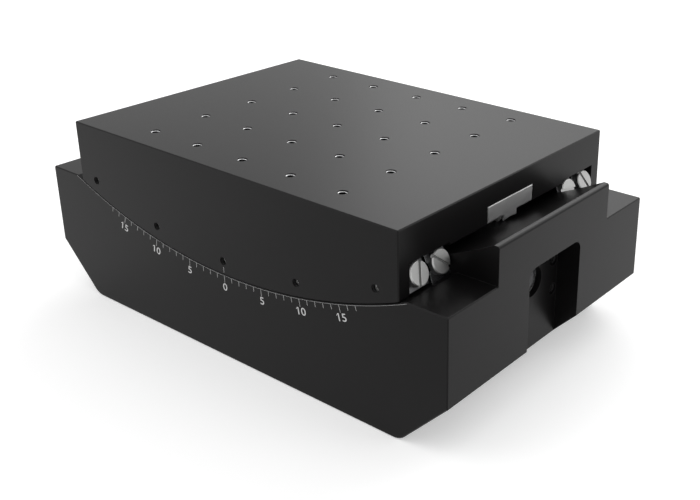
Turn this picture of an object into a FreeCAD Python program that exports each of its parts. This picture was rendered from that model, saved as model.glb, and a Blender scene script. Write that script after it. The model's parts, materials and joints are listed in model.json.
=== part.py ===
import FreeCAD, Part
import math
import os
import re
import Sketcher

# Motorized goniometer stage. X runs along the direction of tilt, Y along the tilt axis, Z up.
# The origin is the centre of the base's bottom face, and the tilt axis lies high above the table.

SIZE_VALUES = {
    # Table, base and tilt axis
    "table_length": 170,
    "table_width": 125,
    "total_height": 78,
    "axis_above_table": 183,
    "base_length": 210,
    "land_rise": 18,
    "end_chamfer": 20.5,
    "foot_rounding": 7,
    "edge_break": 0.4,
    "tilt_limit": 15,
    # Crossed-roller arc guide
    "roller_path_radius": 219.5,
    "rail_height": 10,
    "rail_stagger": 0.5,
    "rail_width": 10,
    "rail_gap": 1.5,
    "roller_diameter": 4,
    "roller_length": 3.8,
    "roller_clearance": 0.03,
    "roller_spacing": 2,
    "groove_relief": 0.5,
    "cage_thickness": 0.9,
    "cage_height": 7.8,
    "cage_window_length": 4.6,
    "cage_window_height": 6,
    "rail_end_inset": 1.7,
    "rail_end_margin": 0.3,
    "skirt_thickness": 5.5,
    "skirt_gap": 0.4,
    "ceiling_step": 1,
    "ridge_gap": 3.3,
    "ridge_flat": 2.2,
    "ridge_rounding": 1,
    # Rail screws, end stops and preload screws
    "rail_screw_end": 4.3,
    "rail_screw_count": 5,
    "rail_screw_inset": 3.9,
    "rail_screw_grip": 6,
    "drill_run_out": 1,
    "stop_screw_offset": 5.75,
    "stop_screw_rise": 0.6,
    "stop_head_radius": 4.5,
    "stop_head_height": 2.4,
    "stop_head_bevel": 0.4,
    "stop_slot_width": 1.2,
    "stop_slot_depth": 1.1,
    "stop_thread_radius": 2,
    "stop_thread_length": 8,
    "preload_end": 2.3,
    "preload_count": 5,
    "preload_radius": 1.6,
    "preload_length": 4,
    # Fine screws, by thread
    "screw3_radius": 1.5,
    "screw3_head_radius": 2.75,
    "screw3_head_height": 3,
    "screw3_socket_radius": 1.4,
    "screw2_radius": 1,
    "screw2_head_radius": 1.9,
    "screw2_head_height": 1.6,
    "screw2_socket_radius": 0.85,
    "socket_depth": 1.2,
    "hole_clearance": 0.1,
    "counterbore_clearance": 0.3,
    "flush_head_height": 1,
    "cover_screw_grip": 4,
    "cover_tap_depth": 6,
    # Tapped holes
    "grid_pitch": 25,
    "grid_count": 5,
    "grid_hole_radius": 1.65,
    "grid_hole_depth": 10,
    "grid_hole_bevel": 0.35,
    "foot_hole_radius": 2.5,
    "foot_hole_depth": 14,
    "foot_hole_inset": 9.5,
    "foot_hole_side": 12.5,
    # Worm drive
    "gear_module": 1,
    "pressure_angle": 20,
    "gear_backlash": 0.26,
    "tooth_root_land": 0.1,
    "sector_half_width": 14,
    "sector_depth": 6,
    "sector_side_gap": 0.4,
    "sector_screw_end": 2.3,
    "sector_screw_count": 7,
    "sector_screw_inset": 5,
    "rim_half_width": 4,
    "rim_throat_radius": 9,
    "rim_throat_depth": 0.45,
    "worm_pitch_radius": 6.5,
    "worm_addendum": 0.75,
    "worm_dedendum": 1.2,
    "worm_turns": 6,
    "worm_thread_sink": 0.1,
    "worm_hub_half": 19.5,
    "worm_collar_radius": 4.6,
    "worm_pin_radius": 1,
    "worm_pin_place": 15.5,
    "worm_slot_half_length": 20,
    "worm_slot_half_width": 8.5,
    "worm_slot_clearance": 1.2,
    "shaft_radius": 4,
    "shaft_end_radius": 2.5,
    "shaft_bore_radius": 4.9,
    "shaft_end_proud": 0.5,
    "bearing_radius": 6,
    "bearing_width": 3.5,
    "bearing_outer_wall": 0.6,
    "bearing_inner_wall": 0.7,
    "bearing_shield_recess": 0.3,
    "bearing_shield_gap": 0.1,
    "seat_clearance": 0.02,
    "play": 0.3,
    # Drive bay
    "bay_half_width": 16.7,
    "bay_rise": 13.9,
    "bay_corner": 4,
    "bay_depth": 9.5,
    "bearing_recess": 2.3,
    "bay_hole_radius": 2.4,
    "bay_hole_depth": 10,
    "bay_hole_half_span": 14,
    "bay_hole_below": 8.5,
    "bay_hole_above": 3.5,
    # Coupling, its chamber and the access cover under it
    "coupling_length": 18,
    "coupling_radius": 6,
    "coupling_slit": 0.6,
    "coupling_slits": 4,
    "coupling_web": 3,
    "coupling_room": 0.8,
    "coupling_screw_inset": 3,
    "coupling_screw_socket": 0.55,
    "access_cover_margin": 6,
    "cover_thickness": 2.5,
    "cover_corner": 3,
    "cover_screw_inset": 3,
    # Motor and its chamber
    "motor_cable_room": 4,
    "motor_wall": 4,
    "motor_size": 20,
    "motor_corner": 2.5,
    "motor_flange_length": 5,
    "motor_stator_length": 18,
    "motor_cap_length": 6,
    "motor_pilot_radius": 7.5,
    "motor_pilot_height": 1.5,
    "motor_screw_span": 16,
    "motor_shaft_radius": 2,
    "motor_shaft_length": 15.5,
    "motor_shaft_inset": 1,
    "rotor_radius": 5.4,
    "rotor_gap": 0.4,
    "motor_bearing_radius": 4,
    "motor_bearing_width": 2.5,
    "motor_bearing_clearance": 0.05,
    "motor_tap_floor": 1,
    "motor_room": 0.5,
    "screw_head_room": 4,
    # End cover and connector
    "end_cover_width": 36,
    "end_cover_height": 32,
    "connector_radius": 6,
    "connector_wall": 0.8,
    "connector_depth": 6,
    "connector_insert_depth": 1.5,
    "connector_pin_radius": 0.5,
    "connector_pin_circle": 2.8,
    "connector_pins": 6,
    # Limit sensors and their flag
    "sensor_lead": 2.2,
    "sensor_inset": 12,
    "sensor_length": 7,
    "sensor_width": 7,
    "sensor_depth": 8,
    "sensor_slot_width": 2.2,
    "sensor_slot_depth": 5,
    "sensor_room": 0.2,
    "flag_thickness": 0.8,
    "flag_reach": 6.3,
    "flag_angle": 1.2,
    "flag_foot_width": 7,
    "flag_foot_thickness": 1.1,
    "flag_screw_spacing": 5,
    "flag_groove_margin": 1.8,
    "flag_screw_grip": 4,
}

# Lines of the design, as formulas of the sizes above. Radii are from the tilt axis
AXIS = "(total_height + axis_above_table)"
BED = "(roller_path_radius + rail_height / 2 + rail_stagger)"
CEILING = "(roller_path_radius - rail_height / 2 - rail_stagger)"
UNDERSIDE = f"({CEILING} + ceiling_step)"
RIDGE = f"({UNDERSIDE} + ridge_gap)"
SKIRT = f"({BED} - skirt_gap)"
STOP_SCREW_RADIUS = "(roller_path_radius - stop_screw_rise)"
SKIRT_INSIDE = "(table_width / 2 - skirt_thickness)"
RIDGE_HALF = f"({SKIRT_INSIDE} - 2 * rail_width - rail_gap)"
ROLLER_ACROSS = f"({RIDGE_HALF} + rail_width + rail_gap / 2)"
LAND = f"({AXIS} - {BED} + land_rise)"
RIDGE_TOP = f"({AXIS} - sqrt({RIDGE}^2 - (base_length / 2 - ridge_flat)^2))"
RAIL_ANGLE = "(asin((table_length / 2 - rail_end_inset) / roller_path_radius) / (1 deg))"
CAGE_ANGLE = f"({RAIL_ANGLE} - tilt_limit / 2 - rail_end_margin)"
ROLLERS = f"floor(2 * {CAGE_ANGLE} / roller_spacing + 1)"
SECTOR_ANGLE = f"(asin(table_length / (2 * {UNDERSIDE})) / (1 deg))"
GEAR_TEETH = f"round(2 * ({UNDERSIDE} / gear_module + 1))"
GEAR_PITCH = f"(gear_module * {GEAR_TEETH} / 2)"
GEAR_TIP = f"({GEAR_PITCH} + gear_module)"
TOOTH_ANGLE = f"(360 / {GEAR_TEETH})"
TOOTH_GAPS = f"(2 * floor({SECTOR_ANGLE} / {TOOTH_ANGLE}) + 1)"
WORM_HEIGHT = f"({AXIS} - {GEAR_PITCH} - worm_pitch_radius)"
WORM_ROOT = "(worm_pitch_radius - worm_dedendum * gear_module)"
WORM_TIP = "(worm_pitch_radius + worm_addendum * gear_module)"
LEAD_ANGLE = "atan(gear_module / (2 * worm_pitch_radius))"
SLOT_FLOOR = f"({WORM_HEIGHT} - {WORM_TIP} - worm_slot_clearance)"
BAY_WALL = "(base_length / 2 - bay_depth)"
BAY_BEARING = f"({BAY_WALL} - bearing_recess)"
BAY_TOP = f"({WORM_HEIGHT} + bay_rise)"
FOOT = "(base_length / 2 - end_chamfer)"
MOTOR_BACK = "(base_length / 2 - connector_depth - motor_cable_room)"
CAP_FRONT = f"({MOTOR_BACK} - motor_cap_length)"
STATOR_FRONT = f"({CAP_FRONT} - motor_stator_length)"
MOTOR_FACE = f"({STATOR_FRONT} - motor_flange_length)"
COUPLING = f"({MOTOR_FACE} - motor_shaft_length)"
COUPLING_ROOF = f"({WORM_HEIGHT} + coupling_radius + coupling_room)"
SENSOR_ANGLE = "(tilt_limit + sensor_lead)"
SENSOR_ACROSS = f"({RIDGE_HALF} - sensor_inset)"
FLAG_SCREW_LINE = f"({SENSOR_ACROSS} + (flag_thickness + flag_foot_width) / 2)"
RAIL_SCREWS = (f"(2 * ({RAIL_ANGLE} - rail_screw_end) / (rail_screw_count - 1))", "rail_screw_count")
SECTOR_SCREWS = (f"(2 * ({SECTOR_ANGLE} - sector_screw_end) / (sector_screw_count - 1))", "sector_screw_count")
PRELOAD_SCREWS = (f"(2 * ({RAIL_ANGLE} - preload_end) / (preload_count - 1))", "preload_count")
STOP_LINES = {
    "base": f"({ROLLER_ACROSS} - stop_screw_offset)",
    "table": f"({ROLLER_ACROSS} + stop_screw_offset)",
}

document = FreeCAD.newDocument("GoniometerStage")
sheet = document.addObject("Spreadsheet::Sheet", "Sizes")
for row, (size_name, size_value) in enumerate(SIZE_VALUES.items(), start=1):
    sheet.set(f"A{row}", str(size_value))
    sheet.setAlias(f"A{row}", size_name)
document.recompute()

size_names = re.compile(r"\b(" + "|".join(SIZE_VALUES) + r")\b")
sub_parts = []


def number(text):
    """The present value of a formula."""
    return float(sheet.evalExpression(str(text)))


def bind(item, field, text):
    """Tie a property to the sheet by a formula of size names."""
    item.setExpression(field, size_names.sub(r"Sizes.\1", str(text)))


def place(x="0", y="0", z="0", axis=(0, 0, 1), turn="0"):
    """The formula of a placement."""
    direction = "vector(%s; %s; %s)" % axis
    return f"placement(vector({x}; {y}; {z}); rotation({direction}; {turn}))"


def at_radius(angle, radius, across="0"):
    """A place on an arc about the tilt axis. Its local Z points at the axis."""
    about_axis = place(z=AXIS, axis=(0, 1, 0), turn=angle)
    return about_axis + " * " + place(y=across, z=f"-({radius})")


def new_body(label):
    body = document.addObject("PartDesign::Body", label)
    body.Label = label
    sub_parts.append(body)
    return body


def new_sketch(body, plane, offset=None):
    """A sketch on one of the body's own planes, moved by a placement formula."""
    support = [item for item in body.Origin.OriginFeatures if item.Role == plane][0]
    sketch = body.newObject("Sketcher::SketchObject", body.Name + "_sketch")
    sketch.AttachmentSupport = (support, [""])
    sketch.MapMode = "FlatFace"
    if offset:
        bind(sketch, "AttachmentOffset", offset)
    return sketch


def hold_point(sketch, curve, end, x, y):
    """Fix a sketch point by two driven distances from the sketch's origin."""
    for kind, axis, text in (("DistanceX", -2, x), ("DistanceY", -1, y)):
        if text == "0":
            sketch.addConstraint(Sketcher.Constraint("PointOnObject", curve, end, axis))
            continue
        index = sketch.addConstraint(Sketcher.Constraint(kind, -1, 1, curve, end, number(text)))
        bind(sketch, f"Constraints[{index}]", text)


def arc_curve(start, finish, radius, side):
    """The shorter arc between two points, with its centre on the left (1) or right (-1)."""
    chord = finish - start
    left = FreeCAD.Vector(-chord.y, chord.x, 0).normalize()
    rise = math.sqrt(radius**2 - (chord.Length / 2) ** 2)
    centre = (start + finish) / 2 + left * rise * side
    first, last = (start, finish) if side > 0 else (finish, start)
    angles = [math.atan2(point.y - centre.y, point.x - centre.x) for point in (first, last)]
    circle_curve = Part.Circle(centre, FreeCAD.Vector(0, 0, 1), radius)
    return Part.ArcOfCircle(circle_curve, angles[0], angles[1])


def outline(sketch, corners, arcs=None):
    """Close a loop through corners given as formulas. arcs: corner number to (radius, side)."""
    arcs = arcs or {}
    points = [FreeCAD.Vector(number(x), number(y), 0) for x, y in corners]
    curves = []
    for index, start in enumerate(points):
        finish = points[(index + 1) % len(points)]
        if index in arcs:
            radius, side = arcs[index]
            curve = sketch.addGeometry(arc_curve(start, finish, number(radius), side))
            bound = Sketcher.Constraint("Radius", curve, number(radius))
            bind(sketch, f"Constraints[{sketch.addConstraint(bound)}]", radius)
            curves.append((curve, 1, 2) if side > 0 else (curve, 2, 1))
        else:
            curves.append((sketch.addGeometry(Part.LineSegment(start, finish)), 1, 2))
    for index, (curve, begin, end) in enumerate(curves):
        following = curves[(index + 1) % len(curves)]
        sketch.addConstraint(Sketcher.Constraint("Coincident", curve, end, following[0], following[1]))
        hold_point(sketch, curve, begin, *corners[index])
    return sketch


def rectangle(sketch, left, bottom, right, top):
    return outline(sketch, [(left, bottom), (right, bottom), (right, top), (left, top)])


def rounded_rectangle(sketch, half_width, half_height, corner, middle="0"):
    """A rectangle with round corners, centred on the sketch's vertical axis."""
    inner = f"({half_width} - {corner})"
    low, high = f"{middle} - ({half_height})", f"{middle} + ({half_height})"
    corners = [
        (f"-({inner})", low),
        (inner, low),
        (half_width, f"{low} + {corner}"),
        (half_width, f"{high} - {corner}"),
        (inner, high),
        (f"-({inner})", high),
        (f"-({half_width})", f"{high} - {corner}"),
        (f"-({half_width})", f"{low} + {corner}"),
    ]
    return outline(sketch, corners, {index: (corner, 1) for index in (1, 3, 5, 7)})


def circle(sketch, x, y, radius):
    centre = FreeCAD.Vector(number(x), number(y), 0)
    curve = sketch.addGeometry(Part.Circle(centre, FreeCAD.Vector(0, 0, 1), number(radius)))
    hold_point(sketch, curve, 3, x, y)
    index = sketch.addConstraint(Sketcher.Constraint("Radius", curve, number(radius)))
    bind(sketch, f"Constraints[{index}]", radius)
    return sketch


def four_circles(sketch, half_x, half_y, radius, middle="0"):
    for side_x in ("", "-"):
        for side_y in ("+", "-"):
            circle(sketch, f"{side_x}({half_x})", f"{middle} {side_y} ({half_y})", radius)
    return sketch


def grow(body, kind, sketch, both_ways=False, reverse=False):
    """Add a sketch feature. Cutting features that remove nothing are reported."""
    document.recompute()
    before = body.Shape.Volume if body.Tip else 0
    feature = body.newObject("PartDesign::" + kind, body.Name + "_" + kind.lower())
    feature.Profile = sketch
    feature.Reversed = reverse
    if both_ways and hasattr(feature, "SideType"):
        feature.SideType = "Symmetric"
    elif both_ways:
        feature.Midplane = True
    return feature, before


def settle(body, feature, before):
    document.recompute()
    cutting = "Pocket" in feature.TypeId or "Groove" in feature.TypeId
    change = body.Shape.Volume - before
    if (change >= 0) if cutting else (change <= 0):
        raise RuntimeError(f"{feature.Name} changes nothing: {change}")
    return feature


def pad(body, sketch, length, **direction):
    feature, before = grow(body, "Pad", sketch, **direction)
    bind(feature, "Length", length)
    return settle(body, feature, before)


def pocket(body, sketch, length, **direction):
    feature, before = grow(body, "Pocket", sketch, **direction)
    bind(feature, "Length", length)
    return settle(body, feature, before)


def turn_about(body, kind, sketch, axis, angle="360", **direction):
    feature, before = grow(body, kind, sketch, **direction)
    feature.ReferenceAxis = (sketch, [axis])
    bind(feature, "Angle", angle)
    return settle(body, feature, before)


def repeat_about(body, feature, axis, angle, count):
    """Repeat a feature on an arc."""
    pattern = body.newObject("PartDesign::PolarPattern", body.Name + "_ring")
    pattern.Originals = [feature]
    pattern.Axis = axis
    bind(pattern, "Angle", angle)
    bind(pattern, "Occurrences", count)
    body.Tip = pattern
    document.recompute()
    return pattern


def dress_edges(body, kind, field, size, wanted):
    """Chamfer or fillet every straight or curved edge that a test picks."""
    document.recompute()
    base = body.Tip
    chosen = [f"Edge{index}" for index, edge in enumerate(base.Shape.Edges, start=1) if wanted(edge)]
    feature = body.newObject("PartDesign::" + kind, body.Name + "_" + kind.lower())
    feature.Base = (base, chosen)
    bind(feature, field, size)
    document.recompute()
    return feature


def ends_at(edge, axis, places):
    """Whether the whole edge lies at one of some places along an axis."""
    box = edge.BoundBox
    low, high = getattr(box, axis + "Min"), getattr(box, axis + "Max")
    return any(abs(low - spot) < 0.01 and abs(high - spot) < 0.01 for spot in places)


def tilt_axis(body):
    """The stage's tilt axis, as the normal of a small sketch in the body."""
    sketch = circle(new_sketch(body, "XZ_Plane", place(y=AXIS)), "0", "0", "shaft_radius")
    return (sketch, ["N_Axis"])


def radial_holes(body, axis, step, count, across, start, hole_radius, depth, towards_axis=False):
    """Drill holes along the radius at even angles, at some distances across."""
    spread = f"{step} * ({count} - 1)"
    if not towards_axis:
        start, depth = f"{start} - play", f"{depth} + play"
    sketch = new_sketch(body, "XY_Plane", at_radius(f"{spread} / 2", start))
    for spot in across:
        circle(sketch, "0", spot, hole_radius)
    first = pocket(body, sketch, depth, reverse=towards_axis)
    repeat_about(body, first, axis, spread, count)


def even_angles(step, count):
    """Formulas of angles with an even step, centred on zero."""
    return [f"{step} * ({index} - ({count} - 1) / 2)" for index in range(int(number(count)))]


def both_sides(text):
    return [f"-({text})", f"({text})"]


# Shared fasteners: each is drawn once, head up, with the underside of its head at the origin


def primitive(kind, name, offset=None, **fields):
    item = document.addObject("Part::" + kind, name)
    for field, text in fields.items():
        bind(item, field, text)
    if offset:
        bind(item, "Placement", offset)
    return item


def combine(kind, name, base, tool):
    item = document.addObject("Part::" + kind, name)
    item.Base = base
    item.Tool = tool
    return item


def socket_screw(name, thread, length, head_radius, head_height, socket_radius):
    head = primitive("Cylinder", name + "_head", Radius=head_radius, Height=head_height)
    below = place(z=f"-({length})")
    shank = primitive("Cylinder", name + "_shank", below, Radius=thread, Height=f"{length} + {head_height} / 2")
    top = place(z=f"{head_height} - socket_depth")
    socket = primitive("Prism", name + "_socket", top, Circumradius=socket_radius, Height="2 * socket_depth")
    solid = combine("Fuse", name + "_solid", head, shank)
    return combine("Cut", name, solid, socket)


def set_screw(name, radius, length, socket_radius):
    """A headless screw. Its point is at the origin, and its socket faces up."""
    rod = primitive("Cylinder", name + "_rod", Radius=radius, Height=length)
    top = place(z=f"{length} - socket_depth")
    socket = primitive("Prism", name + "_socket", top, Circumradius=socket_radius, Height="2 * socket_depth")
    return combine("Cut", name, rod, socket)


def flush_screw(name, radius, length, head_radius, head_height):
    """A countersunk screw. The flat of its head is at the origin, and its point is down."""
    cone_place = place(z=f"-({head_height})")
    head = primitive("Cone", name + "_head", cone_place, Radius1=radius, Radius2=head_radius,
                     Height=head_height)
    shank = primitive("Cylinder", name + "_shank", place(z=f"-({length})"), Radius=radius,
                      Height=f"{length} - {head_height} / 2")
    solid = combine("Fuse", name + "_solid", head, shank)
    top = place(z="-0.6 * socket_depth")
    socket = primitive("Prism", name + "_socket", top, Circumradius=f"0.8 * {radius}", Height="socket_depth")
    return combine("Cut", name, solid, socket)


def stop_screw(name):
    """The large flat head with a bevelled rim and a slot that closes the end of a rail."""
    rim_start = "(stop_head_height - stop_head_bevel)"
    head = primitive("Cylinder", name + "_head", Radius="stop_head_radius", Height=rim_start)
    rim = primitive("Cone", name + "_rim", place(z=rim_start), Radius1="stop_head_radius",
                    Radius2="stop_head_radius - stop_head_bevel", Height="stop_head_bevel")
    bevelled = combine("Fuse", name + "_bevelled", head, rim)
    shank = primitive("Cylinder", name + "_shank", place(z="-stop_thread_length"), Radius="stop_thread_radius",
                      Height="stop_thread_length + stop_head_height / 2")
    solid = combine("Fuse", name + "_solid", bevelled, shank)
    slot_place = place("-stop_slot_width / 2", "-2 * stop_head_radius", "stop_head_height - stop_slot_depth")
    slot = primitive("Box", name + "_slot", slot_place, Length="stop_slot_width", Width="4 * stop_head_radius",
                     Height="2 * stop_slot_depth")
    return combine("Cut", name, solid, slot)


def group(label, source, places):
    """One node of like pieces: copies of a source, each at its own placement formula."""
    copies = []
    for formula in places:
        copy = document.addObject("App::Link", label + "_copy")
        copy.LinkedObject = source
        bind(copy, "Placement", formula)
        copies.append(copy)
    together = document.addObject("Part::Compound", label)
    together.Label = label
    together.Links = copies
    sub_parts.append(together)
    return together


# Base


def make_base_body():
    """Block with a curved bed, a raised ridge along the middle and the chambers of the drive."""
    body = new_body("base_body")
    base_block(body)
    base_ridge(body)
    base_bay(body)
    base_drive_room(body)
    base_motor_room(body)
    base_sensor_room(body)
    rail_line = both_sides(f"{RIDGE_HALF} + rail_screw_inset")
    drill = "screw3_radius + seat_clearance"
    depth = "rail_screw_grip + drill_run_out"
    radial_holes(body, tilt_axis(body), *RAIL_SCREWS, rail_line, BED, drill, depth)
    feet = new_sketch(body, "XY_Plane")
    four_circles(feet, f"{FOOT} - foot_hole_inset", "table_width / 2 - foot_hole_side", "foot_hole_radius")
    pocket(body, feet, "foot_hole_depth", reverse=True)
    return body


def base_block(body):
    reach = f"sqrt({BED}^2 - ({AXIS} - {LAND})^2)"
    tangent = "foot_rounding * tan(22.5)"
    right = [
        (f"{FOOT} - {tangent}", "0"),
        (f"{FOOT} + {tangent} * cos(45)", f"{tangent} * sin(45)"),
        ("base_length / 2", "end_chamfer"),
        ("base_length / 2", LAND),
        (reach, LAND),
    ]
    left = [(f"-({x})", y) for x, y in reversed(right)]
    arcs = {0: ("foot_rounding", 1), 4: (BED, -1), 8: ("foot_rounding", 1)}
    side = outline(new_sketch(body, "XZ_Plane"), right + left, arcs)
    pad(body, side, "table_width", both_ways=True)
    ends = [-number("base_length") / 2, number("base_length") / 2]
    sides = [-number("table_width") / 2, number("table_width") / 2]
    middle = number(LAND) / 2

    def outer_edge(edge):
        return ends_at(edge, "Y", sides) or (ends_at(edge, "X", ends) and edge.BoundBox.ZMax > middle)

    dress_edges(body, "Chamfer", "Size", "edge_break", outer_edge)


def base_ridge(body):
    """The raised middle, hollow like the bed, with a narrow flat at each end."""
    root = f"({LAND} / 2)"
    reach = "(base_length / 2 - ridge_flat)"
    corners = [
        ("-base_length / 2", root),
        ("base_length / 2", root),
        ("base_length / 2", RIDGE_TOP),
        (reach, RIDGE_TOP),
        (f"-{reach}", RIDGE_TOP),
        ("-base_length / 2", RIDGE_TOP),
    ]
    side = outline(new_sketch(body, "XZ_Plane"), corners, {3: (RIDGE, -1)})
    pad(body, side, f"2 * {RIDGE_HALF}", both_ways=True)
    ends = [-number("base_length") / 2, number("base_length") / 2]
    crest = number(RIDGE_TOP)
    dress_edges(body, "Fillet", "Radius", "ridge_rounding",
                lambda edge: ends_at(edge, "X", ends) and ends_at(edge, "Z", [crest]))


def base_bay(body):
    """The open bay in the right end, with its tapped holes."""
    mouth = new_sketch(body, "YZ_Plane", place(z="base_length / 2"))
    corners = [
        ("-bay_half_width", "-end_chamfer"),
        ("bay_half_width", "-end_chamfer"),
        ("bay_half_width", f"{BAY_TOP} - bay_corner"),
        ("bay_half_width - bay_corner", BAY_TOP),
        ("-(bay_half_width - bay_corner)", BAY_TOP),
        ("-bay_half_width", f"{BAY_TOP} - bay_corner"),
    ]
    outline(mouth, corners, {2: ("bay_corner", 1), 4: ("bay_corner", 1)})
    pocket(body, mouth, "bay_depth")
    holes = new_sketch(body, "YZ_Plane", place(z=BAY_WALL))
    for across in both_sides("bay_hole_half_span"):
        for height in (f"{WORM_HEIGHT} - bay_hole_below", f"{WORM_HEIGHT} + bay_hole_above"):
            circle(holes, across, height, "bay_hole_radius")
    pocket(body, holes, "bay_hole_depth")


def base_drive_room(body):
    """Slot for the worm, seats for its bearings, bore for its shaft and room for the coupling."""
    slot = new_sketch(body, "XY_Plane", place(z=SLOT_FLOOR))
    half_length, half_width = "worm_slot_half_length", "worm_slot_half_width"
    rectangle(slot, f"-{half_length}", f"-{half_width}", half_length, half_width)
    pocket(body, slot, f"{AXIS} - {UNDERSIDE}", reverse=True)
    seats = (
        ("worm_slot_half_length", "bearing_width", True),
        ("-worm_slot_half_length", "bearing_width", False),
        (BAY_WALL, "bearing_recess + bearing_width", False),
    )
    for spot, depth, reverse in seats:
        seat = new_sketch(body, "YZ_Plane", place(z=spot))
        circle(seat, "0", WORM_HEIGHT, "bearing_radius + seat_clearance")
        pocket(body, seat, depth, reverse=reverse)
    bore = circle(new_sketch(body, "YZ_Plane", place(z=BAY_WALL)), "0", WORM_HEIGHT, "shaft_bore_radius")
    pocket(body, bore, f"{BAY_WALL} + {COUPLING}")
    half_length = "coupling_length / 2 + coupling_room"
    half_width = "coupling_radius + coupling_room"
    ends = (f"-{COUPLING} - ({half_length})", f"-{COUPLING} + ({half_length})")
    room = new_sketch(body, "XY_Plane")
    rectangle(room, ends[0], f"-({half_width})", ends[1], half_width)
    pocket(body, room, COUPLING_ROOF, reverse=True)
    recess = new_sketch(body, "XY_Plane", place(x=f"-{COUPLING}"))
    rounded_rectangle(recess, f"({half_length} + access_cover_margin + play)",
                      f"({half_width} + access_cover_margin + play)", "cover_corner")
    pocket(body, recess, "cover_thickness + edge_break", reverse=True)
    taps = new_sketch(body, "XY_Plane", place(x=f"-{COUPLING}", z="cover_thickness + edge_break"))
    four_circles(taps, f"{half_length} + cover_screw_inset", f"{half_width} + cover_screw_inset",
                 "screw2_radius + seat_clearance")
    pocket(body, taps, "cover_tap_depth", reverse=True)


def base_motor_room(body):
    """Chamber for the motor behind the left end, its wall and the recess of the end cover."""
    half = "(motor_size / 2 + motor_room)"
    chamber = new_sketch(body, "YZ_Plane", place(z=f"-{MOTOR_FACE}"))
    rounded_rectangle(chamber, half, half, "motor_corner", WORM_HEIGHT)
    pocket(body, chamber, f"base_length / 2 - {MOTOR_FACE}")
    front = new_sketch(body, "YZ_Plane", place(z=f"-{MOTOR_FACE} + motor_wall"))
    rounded_rectangle(front, half, half, "motor_corner", WORM_HEIGHT)
    pocket(body, front, "screw_head_room", reverse=True)
    wall = new_sketch(body, "YZ_Plane", place(z=f"-{MOTOR_FACE} + motor_wall"))
    circle(wall, "0", WORM_HEIGHT, "motor_pilot_radius + seat_clearance")
    half_span = "motor_screw_span / 2"
    four_circles(wall, half_span, half_span, "screw2_radius + hole_clearance", WORM_HEIGHT)
    pocket(body, wall, "motor_wall")
    recess = new_sketch(body, "YZ_Plane", place(z="-base_length / 2"))
    half_width, half_height = "(end_cover_width / 2 + play)", "(end_cover_height / 2 + play)"
    rounded_rectangle(recess, half_width, half_height, "cover_corner", WORM_HEIGHT)
    pocket(body, recess, "cover_thickness", reverse=True)
    taps = new_sketch(body, "YZ_Plane", place(z="-base_length / 2 + cover_thickness"))
    four_circles(taps, "end_cover_width / 2 - cover_screw_inset", "(end_cover_height / 2 - cover_screw_inset)",
                 "screw2_radius + seat_clearance", WORM_HEIGHT)
    pocket(body, taps, "cover_tap_depth", reverse=True)


def base_sensor_room(body):
    """Two pockets for the limit sensors and the groove that their flag runs in."""
    groove = new_sketch(body, "YZ_Plane", place(y=AXIS))
    half = "(sensor_slot_width / 2)"
    near, far = f"{SENSOR_ACROSS} - {half}", f"{SENSOR_ACROSS} + {half}"
    rectangle(groove, near, f"-({RIDGE} + sensor_slot_depth)", far, f"-({CEILING})")
    turn_about(body, "Groove", groove, "H_Axis", f"2 * ({SENSOR_ANGLE} + flag_groove_margin)", both_ways=True)
    for angle in both_sides(SENSOR_ANGLE):
        well = new_sketch(body, "XY_Plane", at_radius(angle, UNDERSIDE, SENSOR_ACROSS))
        length, width = "(sensor_length / 2 + sensor_room)", "(sensor_width / 2 + sensor_room)"
        rectangle(well, f"-{length}", f"-{width}", length, width)
        pocket(body, well, "ridge_gap + sensor_depth + play")


# Table


def make_table_plate():
    """Thick plate with a hollow arc underneath, two skirts and a grid of tapped holes."""
    body = new_body("table_plate")
    side = new_sketch(body, "XZ_Plane")
    rectangle(side, "-table_length / 2", f"{AXIS} - {BED}", "table_length / 2", "total_height")
    pad(body, side, "table_width", both_ways=True)
    top = number("total_height")
    ends = [-number("table_length") / 2, number("table_length") / 2]
    sides = [-number("table_width") / 2, number("table_width") / 2]

    def outer_edge(edge):
        return ends_at(edge, "Z", [top]) or (ends_at(edge, "X", ends) and ends_at(edge, "Y", sides))

    dress_edges(body, "Chamfer", "Size", "edge_break", outer_edge)
    table_underside(body)
    table_grid(body)
    skirt_holes = new_sketch(body, "XZ_Plane", place(y=AXIS))
    for angle in even_angles(*PRELOAD_SCREWS):
        circle(skirt_holes, f"roller_path_radius * sin({angle})", f"-roller_path_radius * cos({angle})",
               "preload_radius + seat_clearance")
    pocket(body, skirt_holes, "2 * table_width", both_ways=True)
    axis = tilt_axis(body)
    rail_line = both_sides(f"{SKIRT_INSIDE} - rail_screw_inset")
    drill = "screw3_radius + seat_clearance"
    depth = "rail_screw_grip + drill_run_out"
    radial_holes(body, axis, *RAIL_SCREWS, rail_line, CEILING, drill, depth, True)
    sector_line = both_sides("sector_half_width - sector_screw_inset")
    back = f"({UNDERSIDE} - sector_depth)"
    radial_holes(body, axis, *SECTOR_SCREWS, sector_line, back, drill, depth, True)
    flag_taps = new_sketch(body, "XY_Plane", at_radius("0", UNDERSIDE, FLAG_SCREW_LINE))
    for side_text in both_sides("flag_screw_spacing / 2"):
        circle(flag_taps, side_text, "0", "screw2_radius + seat_clearance")
    pocket(body, flag_taps, "flag_screw_grip + drill_run_out", reverse=True)
    return body


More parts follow.
